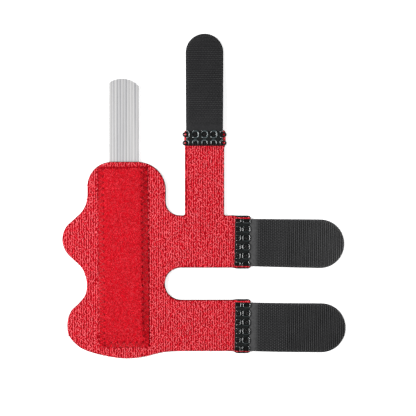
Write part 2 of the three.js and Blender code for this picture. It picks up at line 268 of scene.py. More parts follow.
face_tree = tree_of("face_fabric")
strip_tree = tree_of("velour_strip")
tab_trees = {name: tree_of(f"{name}_hook_tab") for name in ("upper", "middle", "lower")}
face_low, face_high = (np.array(corner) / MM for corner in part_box("face_fabric"))
print(f"the wrap is {face_high[0] - face_low[0]:.1f} by {face_high[1] - face_low[1]:.1f} mm")

# %% [markdown]
# ## Helpers for meshes
#
# Three helpers make nearly every piece. `add_piece` turns points and faces into an object that rides on a
# body. `threads` sweeps a round section along many paths at once. `slab` closes two grids of points into
# a sheet with a rim. Curve objects with a bevel could make the threads too, but thousands of loops are
# quicker as one mesh.

# %% Mesh helpers
TURN = 2 * math.pi
NO_LENGTH = 1e-9
WAVES = 14
WAVE_STRETCH = (0.7, 1.5)


def set_crest(mesh, crest):
    """Say how much of a crest each point is, for the materials, which give crests the paler tones of
    painted light.
    """
    values = np.zeros(len(mesh.vertices)) + crest
    mesh.attributes.new("crest", "FLOAT", "POINT").data.foreach_set("value", values)


def add_piece(name, points, faces, crest, material, slot, body="wrap"):
    """A smooth mesh object from points in millimetres."""
    mesh = bpy.data.meshes.new(name)
    mesh.from_pydata((np.asarray(points) * MM).tolist(), [], faces)
    mesh.shade_smooth()
    set_crest(mesh, crest)
    mesh.materials.append(material)
    piece = bpy.data.objects.new(name, mesh)
    bpy.context.scene.collection.objects.link(piece)
    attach(piece, body)
    print(f"{name}: {len(mesh.polygons)} faces")
    return piece


def threads(paths, radius, sides, upright=(0, 0, 1)):
    """Closed round threads along paths of shape (threads, points, 3), thinner at their ends."""
    paths = np.asarray(paths, float)
    count, steps, _ = paths.shape
    along = np.gradient(paths, axis=1)
    along /= np.linalg.norm(along, axis=2, keepdims=True)
    side = np.cross(along, upright)
    side /= np.linalg.norm(side, axis=2, keepdims=True) + NO_LENGTH
    over = np.cross(side, along)
    thickness = np.full(steps, radius)
    thickness[[0, -1]] = radius / 2
    angles = TURN * np.arange(sides) / sides
    ring = side[:, :, None] * np.cos(angles)[:, None] + over[:, :, None] * np.sin(angles)[:, None]
    points = paths[:, :, None] + ring * thickness[:, None, None]
    index = np.arange(count * steps * sides).reshape(count, steps, sides)
    ahead = np.roll(index, -1, axis=2)
    walls = np.stack([index[:, :-1], ahead[:, :-1], ahead[:, 1:], index[:, 1:]], axis=-1)
    faces = walls.reshape(-1, 4).tolist()
    faces += index[:, 0, ::-1].tolist()
    faces += index[:, -1].tolist()
    # Painted highlight: the crest share is highest on the thread's upper side, half way along it.
    crest = np.outer(1 - np.linspace(-1, 1, steps) ** 2, np.clip(np.sin(angles), 0, 1))
    return points.reshape(-1, 3), faces, np.tile(crest.ravel(), count)


def slab(top, bottom, crest=0.0):
    """A closed sheet from two grids of points of the same shape."""
    rows, columns, _ = top.shape
    index = np.arange(rows * columns).reshape(rows, columns)
    corners = [index[:-1, :-1], index[1:, :-1], index[1:, 1:], index[:-1, 1:]]
    upper = np.stack(corners, axis=-1).reshape(-1, 4)
    lower = upper[:, ::-1] + rows * columns
    rim = np.concatenate([index[0], index[1:, -1], index[-1, -2::-1], index[-2:0:-1, 0]])
    after = np.roll(rim, -1)
    side = np.stack([rim, after, after + rows * columns, rim + rows * columns], axis=-1)
    faces = np.concatenate([upper, lower, side])
    on_top = np.zeros((2, rows, columns))
    on_top[0] = crest
    return np.concatenate([top.reshape(-1, 3), bottom.reshape(-1, 3)]), faces.tolist(), on_top.ravel()


def ripples(x, y, size, seed):
    """A smooth random field about one unit high, with waves about `size` mm long."""
    draw = np.random.default_rng(seed)
    angle = draw.uniform(0, TURN, WAVES)
    speed = TURN / (size * draw.uniform(*WAVE_STRETCH, WAVES))
    start = draw.uniform(0, TURN, WAVES)
    steps = np.multiply.outer(x, speed * np.cos(angle)) + np.multiply.outer(y, speed * np.sin(angle))
    return np.sin(steps + start).sum(axis=-1) / math.sqrt(WAVES)


def soft_rise(value):
    """From 0 to 1 with level ends."""
    share = np.clip(value, 0, 1)
    return share * share * (3 - 2 * share)


# %% [markdown]
# ## Evenly meshed copies
#
# The solids have few, long triangles, which can't bend. A voxel remesh lays an even net over a copy, so
# that its points can be moved to make relief. Subdividing would keep the long triangles. The copy then
# stands for the solid, which stays hidden for the physics.

# %% Even copies


def even_copy(node, name, net, material):
    """A copy of a solid with an even net of about `net` mm, standing for it."""
    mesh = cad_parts[node].data.copy()
    mesh.materials.clear()
    piece = bpy.data.objects.new(name, mesh)
    bpy.context.scene.collection.objects.link(piece)
    remesh = piece.modifiers.new("even_net", "REMESH")
    remesh.mode = "VOXEL"
    remesh.voxel_size = net * MM
    shaped = piece.evaluated_get(bpy.context.evaluated_depsgraph_get())
    piece.data = bpy.data.meshes.new_from_object(shaped)
    piece.modifiers.clear()
    piece.data.name = name
    piece.data.materials.append(material)
    piece.data.shade_smooth()
    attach(piece, "wrap")
    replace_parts(piece, node)
    print(f"{name}: {len(piece.data.polygons)} faces")
    return piece


def points_and_normals(piece):
    """A mesh's points in millimetres and its outward directions."""
    count = len(piece.data.vertices)
    points = np.empty(count * 3)
    normals = np.empty(count * 3)
    piece.data.vertices.foreach_get("co", points)
    piece.data.vertices.foreach_get("normal", normals)
    return points.reshape(-1, 3) / MM, normals.reshape(-1, 3)


def set_points(piece, points):
    """Move a mesh's points to places in millimetres."""
    piece.data.vertices.foreach_set("co", (points * MM).ravel())
    piece.data.update()


# %% [markdown]
# ## Where the red seams run
#
# A strip of velour is sewn down the body: a zigzag seam holds its sides and its foot, and a straight seam
# closes its top. The needle holes are worked out before any cloth is dressed, because the loops and the
# pile have to leave room for the thread. They are given across and along the strip, which is turned a
# little on the wrap.

# %% Needle holes
STRIP_TILT = math.radians(0.6)
STRIP_HALF = 12.7
STRIP_END = 46.5
ZIGZAG_PITCH = 3.2
ZIGZAGS = {
    "left": {"inwards": 1.0, "width": 3.4},
    "foot": {"inwards": 1.2, "width": 3.0},
    "right": {"inwards": 1.4, "width": 3.0},
}
STRAIGHT_PITCH = 1.7
HEAD_SEAM_IN = 0.6
STITCH_STEPS = 6


def in_strip(x, y):
    """Places turned into the strip's own directions: across and along."""
    return (
        x * math.cos(STRIP_TILT) + y * math.sin(STRIP_TILT),
        y * math.cos(STRIP_TILT) - x * math.sin(STRIP_TILT),
    )


def from_strip(across, along):
    """The way back, from the strip's directions to X and Y."""
    return (
        across * math.cos(STRIP_TILT) - along * math.sin(STRIP_TILT),
        along * math.cos(STRIP_TILT) + across * math.sin(STRIP_TILT),
    )


def zigzag(edge, start, end):
    """Needle holes from start to end, swinging to both sides."""
    start, end = np.array(start), np.array(end)
    count = round(2 * np.linalg.norm(end - start) / ZIGZAG_PITCH)
    line = start + (end - start) * np.linspace(0, 1, count + 1)[:, None]
    way = (end - start) / np.linalg.norm(end - start)
    side = np.array([-way[1], way[0]]) * ZIGZAGS[edge]["width"] / 2
    return line + side * np.where(np.arange(count + 1) % 2, 1, -1)[:, None]


left_line = ZIGZAGS["left"]["inwards"] - STRIP_HALF
right_line = STRIP_HALF - ZIGZAGS["right"]["inwards"]
foot = ZIGZAGS["foot"]["inwards"] - STRIP_END
head = STRIP_END - HEAD_SEAM_IN
head_count = round(2 * STRIP_HALF / STRAIGHT_PITCH)
needle_holes = {
    "zigzag_left": zigzag("left", (left_line, STRIP_END), (left_line, foot)),
    "zigzag_foot": zigzag("foot", (left_line, foot), (right_line, foot)),
    "zigzag_right": zigzag("right", (right_line, STRIP_END), (right_line, foot)),
    "head_seam": np.linspace((-STRIP_HALF, head), (STRIP_HALF, head), head_count + 1),
}
along_stitch = np.linspace(0, 1, STITCH_STEPS, endpoint=False)[:, None]
seam_lines = {}
for name, holes in needle_holes.items():
    between = holes[:-1, None] + (holes[1:] - holes[:-1])[:, None] * along_stitch
    seam_lines[name] = np.concatenate([between.reshape(-1, 2), holes[-1:]])
all_seams = np.concatenate([np.stack(from_strip(*line.T), axis=1) for line in seam_lines.values()])
all_holes = np.concatenate([np.stack(from_strip(*holes.T), axis=1) for holes in needle_holes.values()])


def distance_to(spots, x, y):
    """How far places are from the nearest spot of a seam."""
    nearest = np.full(len(x), np.inf)
    for spot_x, spot_y in spots:
        nearest = np.minimum(nearest, np.hypot(x - spot_x, y - spot_y))
    return nearest


print("needle holes:", sum(len(holes) for holes in needle_holes.values()))

# %% [markdown]
# ## The knit wrap's ground
#
# On the real wrap a thin knit is glued to foam, and its loops stand on it. The ground only shows between
# the loops, so it can have a coarse net, and it gets a deep red with painted shade, the shade of the loops
# over it. Beside the arm seams the loops are pressed flat and the cloth lies open to the light, so the mesh
# says there that it is all crest and the cloth takes a clear red without the painted shade. All three arms
# reach equally far, the upper one in Y and the others in X, so one number says where their pressed ends
# begin.

# %% Knit ground
GROUND_NET = 0.65
PRESSED_FROM = 57.4

knit_wrap = even_copy("face_fabric", "knit_wrap", GROUND_NET, knit_ground)
points, _ = points_and_normals(knit_wrap)
set_crest(knit_wrap.data, points[:, :2].max(axis=1) > PRESSED_FROM)

# %% [markdown]
# ## The loops of the knit
#
# Each stitch leaves a short loop of yarn on the face, an S that leans one way or the other. We could
# paint them as a bump, but the edge of the wrap and the raking light show that they are real. So a small
# curved thread is laid at every stitch, with a little chance in its length, lean and height. A loop that
# would hang over the edge is drawn shorter, and left out if it is still too long. The loops make two
# pieces, left and right of a dividing line, because one mesh of them all would be very large.

# %% Yarn loops
WALE_PITCH = 1.2
COURSE_PITCH = 0.95
YARN_RADIUS = 0.25
LOOP_LENGTH = 1.5
LOOP_SWING = 0.24
LOOP_RISE = 0.38
PLACE_CHANCE = 0.15
LEAN_CHANCE = 0.38
LENGTH_CHANCE = (0.8, 1.15)
SWING_CHANCE = (0.5, 1.3)
RISE_CHANCE = (0.4, 1.3)
LOOP_POINTS = 7
YARN_SIDES = 5
TUCK = 0.9
CHANCE_SEED = 11
SEAM_ROOM = 0.35
LOOP_SHRINKS = (1, 0.7, 0.45)
DIVIDING_LINE = 21

chance = np.random.default_rng(CHANCE_SEED)
columns = np.arange(face_low[0], face_high[0], WALE_PITCH)
rows = np.arange(face_low[1], face_high[1], COURSE_PITCH)
x, y = (grid.ravel() for grid in np.meshgrid(columns, rows))
odd_column = np.round(x / WALE_PITCH).astype(int) % 2
x = x + chance.normal(0, PLACE_CHANCE, x.size)
y = y + odd_column * COURSE_PITCH / 2 + chance.normal(0, PLACE_CHANCE, y.size)
places = np.stack([x, y], axis=1)


def covered(places):
    """Whether the strip or a tab hides the place, with a margin so that loops tuck under their edges."""
    hidden = np.zeros(len(places), bool)
    for tree in (strip_tree, *tab_trees.values()):
        inside = np.ones(len(places), bool)
        for step in ((TUCK, 0), (-TUCK, 0), (0, TUCK), (0, -TUCK)):
            inside &= ~np.isnan(heights(tree, places + step))
        hidden |= inside
    return hidden


on_wrap = ~np.isnan(heights(face_tree, places))
places = places[on_wrap]
places = places[~covered(places)]
places = places[distance_to(all_seams, *places.T) > SEAM_ROOM]
amount = len(places)

way = np.linspace(-1, 1, LOOP_POINTS)
length = LOOP_LENGTH * chance.uniform(*LENGTH_CHANCE, (amount, 1))
swing = LOOP_SWING * chance.choice([-1, 1], (amount, 1)) * chance.uniform(*SWING_CHANCE, (amount, 1))
lean = chance.normal(0, LEAN_CHANCE, (amount, 1))
rise = LOOP_RISE * chance.uniform(*RISE_CHANCE, (amount, 1)) * (1 - way**2) - YARN_RADIUS / 2
loops = np.full((amount, LOOP_POINTS, 3), np.nan)
for shrink in LOOP_SHRINKS:
    run = way * length * shrink / 2
    sway = np.sin(math.pi * way) * swing
    loop_x = places[:, :1] + run * np.sin(lean) + sway * np.cos(lean)
    loop_y = places[:, 1:] + run * np.cos(lean) - sway * np.sin(lean)
    ground = heights(face_tree, np.stack([loop_x.ravel(), loop_y.ravel()], axis=1)).reshape(loop_x.shape)
    open_still = np.isnan(loops).any(axis=(1, 2))
    loops[open_still] = np.stack([loop_x, loop_y, ground + rise], axis=-1)[open_still]
whole = ~np.isnan(loops).any(axis=(1, 2))
loops, places = loops[whole], places[whole]

parts = {"left": places[:, 0] < DIVIDING_LINE, "right": places[:, 0] >= DIVIDING_LINE}
yarn = [
    add_piece(f"yarn_loops_{side}", *threads(loops[chosen], YARN_RADIUS, YARN_SIDES), knit_yarn, "red_knit")
    for side, chosen in parts.items()
]
print(f"{len(loops)} loops")

# %% [markdown]
# ## The lining
#
# A smooth black jersey backs the wrap and shows as a dark line round it. It is flat, so an outline is
# enough: we collect the edge of the solid's underside, and stack a few copies of it, the outer ones
# bigger than the inner ones, so that the rim is round. A bevel modifier would do the same, but it stumbles
# over the many short edges of the scallops.

# %% Lining
RIM_ROUND = 0.3
RIM_STEPS = 4
SAME_PLACE = 3
SAME_HEIGHT = 0.01


def flat_outline(node):
    """The edge of a solid's underside as ordered points, counterclockwise."""
    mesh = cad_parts[node].data
    corners_at = {}
    name_of = []
    for vertex in mesh.vertices:
        spot = tuple(round(c / MM, SAME_PLACE) for c in vertex.co)
        name_of.append(corners_at.setdefault(spot, len(corners_at)))
    spots = np.array(list(corners_at))
    base = spots[:, 2].min()
    following = {}
    edges = set()
    for face in mesh.polygons:
        corners = [name_of[i] for i in face.vertices]
        if all(spots[i, 2] < base + SAME_HEIGHT for i in corners):
            edges.update(zip(corners, corners[1:] + corners[:1]))
    for a, b in edges:
        if (b, a) not in edges:
            following[b] = a
    start = next(iter(following))
    order = [start]
    while following[order[-1]] != start:
        order.append(following[order[-1]])
    return spots[order, :2]


def inset(outline, distance):
    """The outline moved inwards by a small distance."""
    ahead = np.roll(outline, -1, axis=0) - np.roll(outline, 1, axis=0)
    ahead /= np.linalg.norm(ahead, axis=1, keepdims=True)
    return outline + distance * np.stack([-ahead[:, 1], ahead[:, 0]], axis=1)


outline = flat_outline("lining")
lining_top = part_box("lining")[1].z / MM
quarter = np.linspace(0, TURN / 4, RIM_STEPS)
levels = [(RIM_ROUND * (1 - math.sin(a)), RIM_ROUND * (1 - math.cos(a))) for a in quarter]
levels += [(RIM_ROUND * (1 - math.cos(a)), lining_top - RIM_ROUND * (1 - math.sin(a))) for a in quarter]
layers = [np.column_stack([inset(outline, push), np.full(len(outline), z)]) for push, z in levels]
index = np.arange(len(levels) * len(outline)).reshape(len(levels), -1)
beside = np.roll(index, -1, axis=1)
faces = np.stack([index[:-1], beside[:-1], beside[1:], index[1:]], axis=-1).reshape(-1, 4).tolist()
faces += [index[0, ::-1].tolist(), index[-1].tolist()]
lining = add_piece("lining_sheet", np.concatenate(layers), faces, 0.0, black_lining, "black_lining")
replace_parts(lining, "lining")

# %% [markdown]
# ## The velour strip
#
# A strip of loop velour is sewn down the body over the pocket. Its stitches pull the edges down, so the
# strip is thick in the middle and thin at the rim. The remeshed copy is pressed along its edges first,
# and then thousands of short fibres are planted in it. Particle hair is the other way to do it, but its
# hairs would not be part of the mesh.

# %% Velour cloth
VELOUR_NET = 0.42
EDGE_PRESS = 0.45
EDGE_WIDTH = 3.2
END_WIDTH = 1.6
LUMP_HEIGHT = 0.12
LUMP_SIZE = 1.1
LUMP_SEED = 3
GROOVE_DEPTH = 0.4
GROOVE_WIDTH = 0.7
HOLE_SHADE_WIDTH = 1.0
FACES_UP = 0.3


def edge_press(x, y):
    """How far the seams pull the strip down at a place."""
    across, along = in_strip(x, y)
    sides = soft_rise((np.abs(across) - STRIP_HALF + EDGE_WIDTH) / EDGE_WIDTH)
    foot_end = soft_rise((-along - STRIP_END + EDGE_WIDTH) / EDGE_WIDTH)
    head_end = soft_rise((along - STRIP_END + END_WIDTH) / END_WIDTH)
    groove = 1 - soft_rise(distance_to(all_seams, x, y) / GROOVE_WIDTH)
    return EDGE_PRESS * np.maximum(np.maximum(sides, foot_end), head_end) + GROOVE_DEPTH * groove


def pile_lumps(x, y):
    """The pile's uneven height."""
    return LUMP_HEIGHT * ripples(x, y, LUMP_SIZE, LUMP_SEED)


velour = even_copy("velour_strip", "velour_band", VELOUR_NET, velour_cloth)
points, normals = points_and_normals(velour)
on_top = normals[:, 2] > FACES_UP
points[on_top, 2] -= edge_press(points[on_top, 0], points[on_top, 1])
points[on_top, 2] += pile_lumps(points[on_top, 0], points[on_top, 1])
set_points(velour, points)
# Painted shade: round every needle hole the cloth takes a dark red.
set_crest(velour.data, soft_rise(distance_to(all_holes, points[:, 0], points[:, 1]) / HOLE_SHADE_WIDTH))

# %% [markdown]
# The fibres of the pile stand up and bend over to all sides. Each tuft is a three-sided thread of three
# points, which is the least that can still bend. Its paleness follows soft patches and some chance, and
# on the right slope of the strip it gets painted shade. The sides of a standing thread are measured from an
# axis that lies flat, because +Z would run along it.

# %% Velour pile
TUFTS = 15000
TUFT_RADIUS = 0.13
TUFT_SIDES = 3
TUFT_LEAN = 0.55
TUFT_LEAN_CHANCE = (0.5, 1.5)
TUFT_MARGIN = 0.2
LYING_AXIS = (1, 0.01, 0)
TUFT_STAGES = [(-0.3, 0.0), (0.3, 0.3), (0.38, 1.0)]
PALE_SHARE = 0.5
PALE_PATCHES = 0.1
PATCH_SEED = 8
PALE_CHANCE = 0.4
HOLE_ROOM = 0.65
SLOPE_SHADE = 0.4
SLOPE_SHADE_FROM = 6.5

across = chance.uniform(-STRIP_HALF + TUFT_MARGIN, STRIP_HALF - TUFT_MARGIN, TUFTS)
along = chance.uniform(-STRIP_END + TUFT_MARGIN, STRIP_END - TUFT_MARGIN, TUFTS)
x, y = from_strip(across, along)
clear = (distance_to(all_seams, x, y) > SEAM_ROOM) & (distance_to(all_holes, x, y) > HOLE_ROOM)
x, y, across = x[clear], y[clear], across[clear]
root = heights(strip_tree, np.stack([x, y], axis=1)) - edge_press(x, y) + pile_lumps(x, y)
heading = chance.uniform(0, TURN, len(x))
lean = TUFT_LEAN * chance.uniform(*TUFT_LEAN_CHANCE, len(x))
patches = PALE_PATCHES * ripples(x, y, LUMP_SIZE, PATCH_SEED)
# Painted shade on the strip's right slope, which falls away from the stronger left lamp.
slope_shade = SLOPE_SHADE * soft_rise((across - SLOPE_SHADE_FROM) / (STRIP_HALF - SLOPE_SHADE_FROM))
paleness = np.clip(PALE_SHARE - slope_shade + patches + chance.normal(0, PALE_CHANCE, len(x)), 0, 1)
stages = []
for rise, bend in TUFT_STAGES:
    tip_x = x + lean * bend * np.cos(heading)
    tip_y = y + lean * bend * np.sin(heading)
    stages.append(np.stack([tip_x, tip_y, root + rise], axis=-1))
tufts = np.stack(stages, axis=1)
halves = {"upper": y >= 0, "lower": y < 0}
for half, chosen in halves.items():
    chosen = chosen & ~np.isnan(root)
    points, faces, _ = threads(tufts[chosen], TUFT_RADIUS, TUFT_SIDES, upright=LYING_AXIS)
    pale = np.repeat(paleness[chosen], len(TUFT_STAGES) * TUFT_SIDES)
    add_piece(f"velour_pile_{half}", points, faces, pale, velour_fibre, "red_velour")

# %% [markdown]
# ## Red thread
#
# A seam is one long thread that dips into the cloth at every needle hole. Between two holes it arches
# over the cloth, so its height is the height of the cloth and a half wave of sine.

# %% Red seams
STITCH_RADIUS = 0.22
STITCH_SIDES = 6
STITCH_SINK = 0.15
# `pale` is how much painted highlight the top of each seam's thread gets: most on the left, where the light
# falls, none on the head seam.
STITCH_LOOKS = {
    "zigzag_left": {"arch": 0.36, "pale": 0.4},
    "zigzag_foot": {"arch": 0.36, "pale": 0.3},
    "zigzag_right": {"arch": 0.36, "pale": 0.25},
    "head_seam": {"arch": 0.1, "pale": 0.0},
}


def cloth_height(x, y):
    """Top of the dressed cloth: the strip where it lies, and the wrap beside it."""
    spots = np.stack([x, y], axis=1)
    strip = heights(strip_tree, spots) - edge_press(x, y)
    return np.where(np.isnan(strip), heights(face_tree, spots), strip)


def seam_thread(name):
    """One thread through a seam's needle holes."""
    x, y = from_strip(*seam_lines[name].T)
    arch = np.tile(np.sin(math.pi * along_stitch.ravel()), len(needle_holes[name]) - 1)
    look = STITCH_LOOKS[name]
    height = cloth_height(x, y) - STITCH_SINK + look["arch"] * np.append(arch, 0)
    points, faces, crest = threads(np.stack([x, y, height], axis=1)[None], STITCH_RADIUS, STITCH_SIDES)
    return add_piece(name, points, faces, crest * look["pale"], red_thread, "red_thread")


seams = [seam_thread(name) for name in needle_holes]

# %% [markdown]
# ## The hook tabs
#
# Each arm ends in a black hook tape with a round end. The tape is a thin woven ground with rows of nylon
# hooks on it. The ground is a grid that narrows along a half circle at the tip, and takes its height from
# the solid tab. Next to the seam it has no hooks, and on the wide tapes it gets a painted sheen there,
# where it tilts up towards the light.
#
# The table gives each tab's place, direction and sizes in millimetres. Hooks stand wide apart as far as
# `open_until`, and the seam has `count` stitches at a pitch of `pitch`. The rest are shares from 0 to 1:
# how much painted sheen the end without hooks and the ground (at the seam and at the tip) get, how much
# painted highlight the hooks (both at the seam and at the tip) and the cord of the seam get, and how round
# the stitches are.

# %% Tape ground
SEAM_LENGTH = 8.2
TAPE_GROUND = 0.6
TAPE_STEP = 0.6
TAPE_COLUMNS = 37
TIP_STEPS = 16
EDGE_ROUND = 0.25
EDGE_SHARPNESS = 8
EDGE_CROWDING = 0.3
INSIDE = 0.1
SHEEN_UNTIL = 1.2
SHEEN_FADE = 4.4
TABS = [
    {
        "name": "upper", "end": (41.6, 65.4), "turn": 90.0, "root": 19.05, "tip": 19.6, "reach": 49.94,
        "open_until": 0, "count": 5, "pitch": 4.7,
        "bare": 0.1, "ground_sheen": (0.06, 0.06), "hook_highlight": (0.3, 0.3), "cord_highlight": 1.0, "roundness": 0.75,
    },
    {
        "name": "middle", "end": (65.4, 7.41), "turn": -1.1, "root": 24.4, "tip": 25.4, "reach": 48.46,
        "open_until": 18, "count": 6, "pitch": 4.58,
        "bare": 1.0, "ground_sheen": (0.1, 0.75), "hook_highlight": (0.4, 1.0), "cord_highlight": 0.1, "roundness": 0.5,
    },
    {
        "name": "lower", "end": (65.4, -35.99), "turn": -1.1, "root": 25.0, "tip": 25.4, "reach": 49.2,
        "open_until": 18, "count": 6, "pitch": 4.58,
        "bare": 1.0, "ground_sheen": (0.2, 0.3), "hook_highlight": (0.55, 0.6), "cord_highlight": 0.1, "roundness": 0.5,
    },
]


def in_plan(tab, u, v):
    """Places u along the tape and v to its left, turned into X and Y."""
    angle = math.radians(tab["turn"])
    return (
        tab["end"][0] + u * math.cos(angle) - v * math.sin(angle),
        tab["end"][1] + u * math.sin(angle) + v * math.cos(angle),
    )


def half_width(tab, u):
    """Half of the tape's width at u, following the half circle at its tip."""
    radius = tab["tip"] / 2
    straight = tab["root"] / 2 + (tab["tip"] - tab["root"]) / 2 * np.clip(u / tab["reach"], 0, 1)
    past = np.clip(u - tab["reach"] + radius, 0, radius)
    return straight * np.sqrt(np.clip(1 - (past / radius) ** 2, 0, 1))


def tape_underside(tab, u):
    """Height of the solid tab's underside along its middle."""
    inside = np.clip(u, INSIDE - SEAM_LENGTH, tab["reach"] - INSIDE)
    x, y = in_plan(tab, inside, 0 * inside)
    return heights(tab_trees[tab["name"]], np.stack([x, y], axis=1), UP)


def tape_stations(tab):
    """Steps along the tape, closer together round the tip."""
    radius = tab["tip"] / 2
    straight = np.arange(-SEAM_LENGTH, tab["reach"] - radius, TAPE_STEP)
    bend = np.linspace(0, TURN / 4, TIP_STEPS)[:-1]
    return np.concatenate([straight, tab["reach"] - radius + radius * np.sin(bend)])


def tape_sheet(tab):
    """The woven ground of a tape, thinner at its edges."""
    u = tape_stations(tab)
    even = np.linspace(-1, 1, TAPE_COLUMNS)
    share = even + EDGE_CROWDING * (np.sin(even * TURN / 4) - even)
    v = half_width(tab, u)[:, None] * share
    x, y = in_plan(tab, u[:, None] + 0 * v, v)
    low = tape_underside(tab, u)[:, None] + 0 * v
    thick = TAPE_GROUND - EDGE_ROUND * share**EDGE_SHARPNESS
    # Painted sheen: the ground is paler next to the seam, and on the middle tape paler towards its tip.
    bare = tab["bare"] * (1 - soft_rise((u[:, None] + 0 * v - SHEEN_UNTIL) / SHEEN_FADE))
    pale = np.maximum(bare, np.interp(u, (0, tab["reach"]), tab["ground_sheen"])[:, None])
    mesh = slab(np.stack([x, y, low + thick], axis=-1), np.stack([x, y, low + 0 * v], axis=-1), pale)
    piece = add_piece(f"{tab['name']}_tape", *mesh, hook_ground, "black_hook_tape")
    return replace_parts(piece, f"{tab['name']}_hook_tab")


tapes = [tape_sheet(tab) for tab in TABS]

# %% [markdown]
# The hooks stand in rows across the tape, closer together towards the tip, and every other row is shifted
# by half a step. A hook is a short thread that goes up, over and a little down. Rows lean to the left and
# to the right in turn, which is how the real tape grips in both directions.

# %% Hooks
HOOK_ROW = 1.0
OPEN_STEP = 1.35
CLOSE_STEP = 0.8
HOOK_RADIUS = 0.18
HOOK_SIDES = 5
HOOK_MARGIN = 0.8
HOOK_START = 3.4
HOOK_SHAPE = [(0.0, -0.05), (0.0, 0.45), (0.12, 0.76), (0.36, 0.84), (0.5, 0.62)]


def hook_rows(tab):
    """All hooks of one tape as one piece."""
    rows = np.arange(HOOK_START, tab["reach"] - HOOK_MARGIN, HOOK_ROW)[:, None]
    step = np.where(rows < tab["open_until"], OPEN_STEP, CLOSE_STEP)
    half_count = math.ceil(tab["tip"] / 2 / CLOSE_STEP)
    shifted = np.arange(len(rows))[:, None] % 2
    v = (np.arange(-half_count, half_count + 1) + shifted / 2) * step
    u = rows + 0 * v
    facing = np.where(shifted, 1, -1) + 0 * v
    keep = np.abs(v) < half_width(tab, u) - HOOK_MARGIN
    u, v, facing = u[keep], v[keep], facing[keep]
    ground = tape_underside(tab, u) + TAPE_GROUND
    path = []
    for out, rise in HOOK_SHAPE:
        x, y = in_plan(tab, u, v + facing * (out - HOOK_SHAPE[-1][0] / 2))
        path.append(np.stack([x, y, ground + rise], axis=-1))
    angle = math.radians(tab["turn"])
    upright = (math.cos(angle), math.sin(angle), 0)
    points, faces, crest = threads(np.stack(path, axis=1), HOOK_RADIUS, HOOK_SIDES, upright)
    # Painted highlight on the tops of the hooks, which grows towards the tip on the middle tape.
    pale = np.interp(u, (0, tab["reach"]), tab["hook_highlight"])
    crest = crest * np.repeat(pale, len(HOOK_SHAPE) * HOOK_SIDES)
    return add_piece(f"{tab['name']}_hooks", points, faces, crest, hook_nylon, "black_hook_tape")


hooks = [hook_rows(tab) for tab in TABS]

# %% [markdown]
# ## The arm seams
#
# A heavy machine stitch joins each tape to its arm. Near the knit it makes open arches and near the tape
# closed rings, in thick shiny thread. Under them lies a bed of webbing that swells between the stitches
# and sinks inside them, where painted shade makes it black, as in deep holes.

# %% Seam bed
BED_START = 0.2
BED_LENGTH = 7.3
BED_HEIGHT = 0.05
BED_SWELL = 0.5
SWELL_SHARE = 0.4
SWELL_CONTRAST = 1.2
END_SHARPNESS = 0.4
SIDE_SHARPNESS = 12
BED_LUMP_HEIGHT = 0.08
BED_LUMP_SIZE = 0.8
BED_SEED = 5
BED_OVERLAP = 0.1
BED_ROWS = 34
BED_COLUMNS = 140


def seam_frame(tab, w, v):
    """Places w from the knit side of the seam and v along it."""
    return in_plan(tab, w - SEAM_LENGTH, v)


def seam_bed(tab):
    """The webbing under one seam, palest where it swells and black with painted shade where it sinks."""
    w = np.linspace(BED_START, BED_START + BED_LENGTH, BED_ROWS)[:, None]
    v = np.linspace(-tab["root"] / 2, tab["root"] / 2, BED_COLUMNS)[None]
    wave = np.cos(TURN * (v / tab["pitch"] - (tab["count"] - 1) / 2))
    between = soft_rise(SWELL_SHARE - SWELL_CONTRAST * wave + 0 * w)
    ends = np.sin(math.pi * (w - BED_START) / BED_LENGTH) ** END_SHARPNESS
    sides = 1 - np.abs(v / v.max()) ** SIDE_SHARPNESS
    low = tape_underside(tab, w[:, 0] - SEAM_LENGTH)[:, None] + TAPE_GROUND
    x, y = seam_frame(tab, w + 0 * v, v + 0 * w)
    lumps = BED_LUMP_HEIGHT * ripples(x, y, BED_LUMP_SIZE, BED_SEED)
    top = np.stack([x, y, low + (BED_HEIGHT + BED_SWELL * between + lumps) * ends * sides], axis=-1)
    bottom = np.stack([x, y, low - BED_OVERLAP + 0 * x], axis=-1)
    mesh = slab(top, bottom, between * ends * sides)
    return add_piece(f"{tab['name']}_seam_bed", *mesh, seam_webbing, "black_thread")


beds = [seam_bed(tab) for tab in TABS]

# %% [markdown]
# The arch and the ring are both parts of an oval. An arch is the half that bulges towards the tape and
# its two legs, and a ring is nearly the whole oval. Their ends dive into the bed, and what would pass the
# tape's edge dives down beside it, so that no thread seems to be cut. Bezier curves with a bevel would do
# too, but an oval from a sine and a cosine is laid again and again with one formula.

# %% Seam stitches
CORD_RADIUS = 0.45
CORD_SIDES = 12
CORD_POINTS = 48
END_STEEPNESS = 8
DIVE_DEPTH = 1.4
SEAM_OVALS = [
    {"name": "arches", "middle": 1.5, "reach": 1.4, "wide": 1.35, "from": -215, "to": 35, "tall": 0.62},
    {"name": "rings", "middle": 5.85, "reach": 1.75, "wide": 1.55, "from": 5, "to": 355, "tall": 0.62},
]


def fuller(swing, roundness):
    """A sine or cosine pushed outwards, which gives an oval straight legs and round corners."""
    return np.sign(swing) * np.abs(swing) ** roundness


